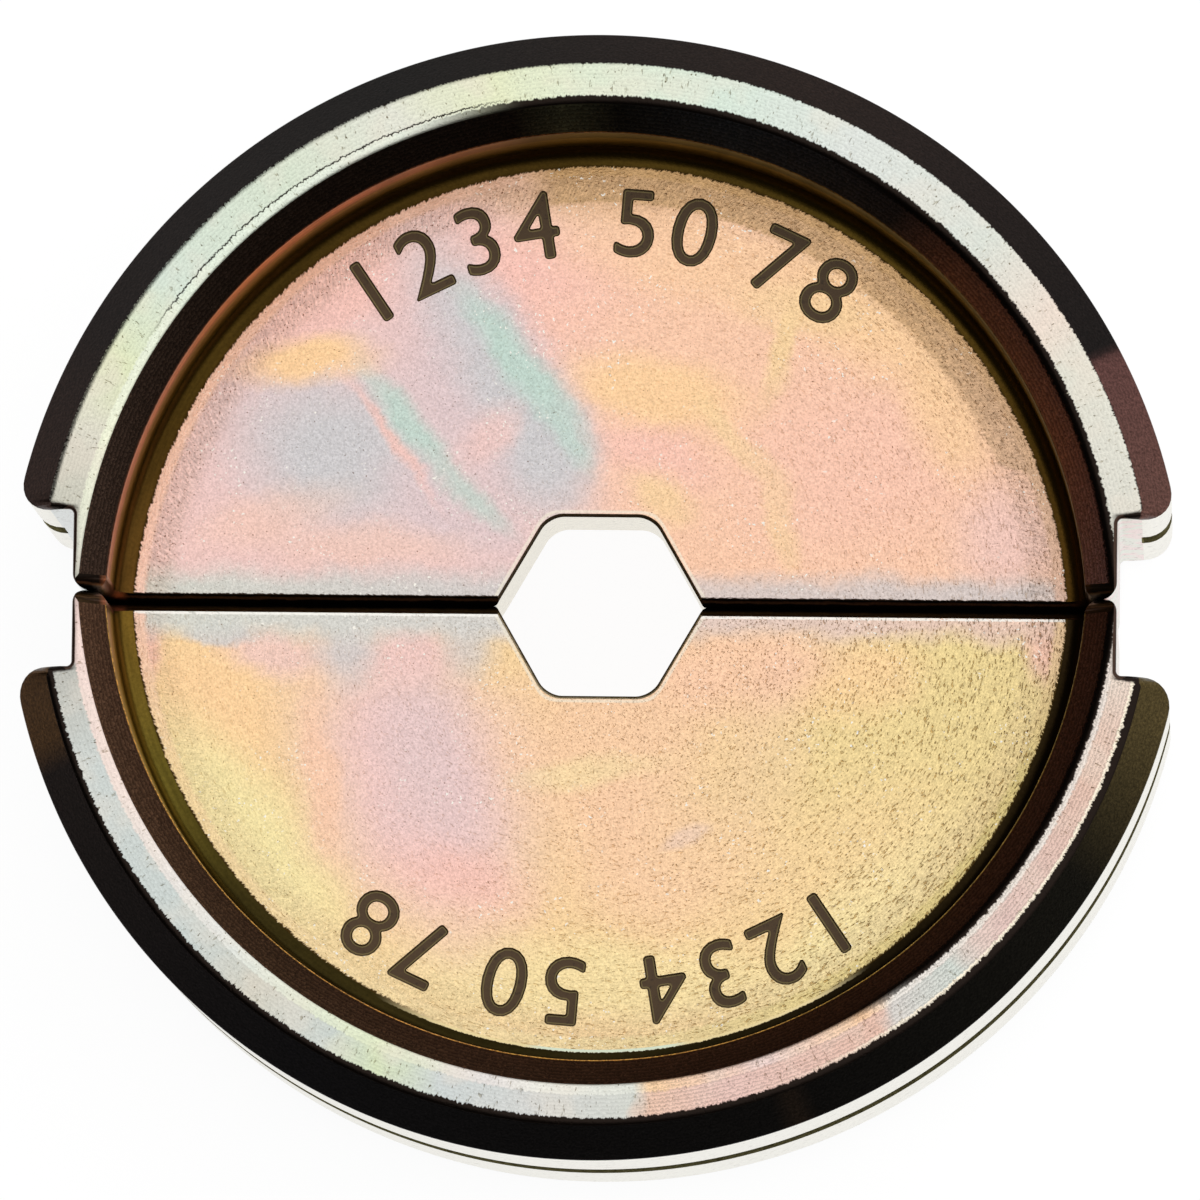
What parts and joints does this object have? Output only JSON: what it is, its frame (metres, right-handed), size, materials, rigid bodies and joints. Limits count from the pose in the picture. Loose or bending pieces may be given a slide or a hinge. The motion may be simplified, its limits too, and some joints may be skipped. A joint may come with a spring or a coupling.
{
  "type": "crimping die",
  "caption": "Split round crimping die: half shells with a thick grooved rim, a recessed web and a hexagonal crimping profile across the split.",
  "frame": {"origin": "on the axis of the hexagonal crimping profile, in the plane of the back rim face on which the closed die lies", "axes": "+Z along the crimping axis from the back rim face to the front one; +Y from the split plane towards the upper half; +X along the split line"},
  "size_m": [0.0438, 0.043, 0.016],
  "materials": {
    "upper_half_zinc": "iridescent yellow zinc passivation on machined steel, pink and gold",
    "lower_half_zinc": "iridescent yellow zinc passivation on machined steel, gold and olive"
  },
  "bodies": {
    "root": {"upper_die_half": "upper_half_zinc", "lower_die_half": "lower_half_zinc"}
  },
  "joints": []
}
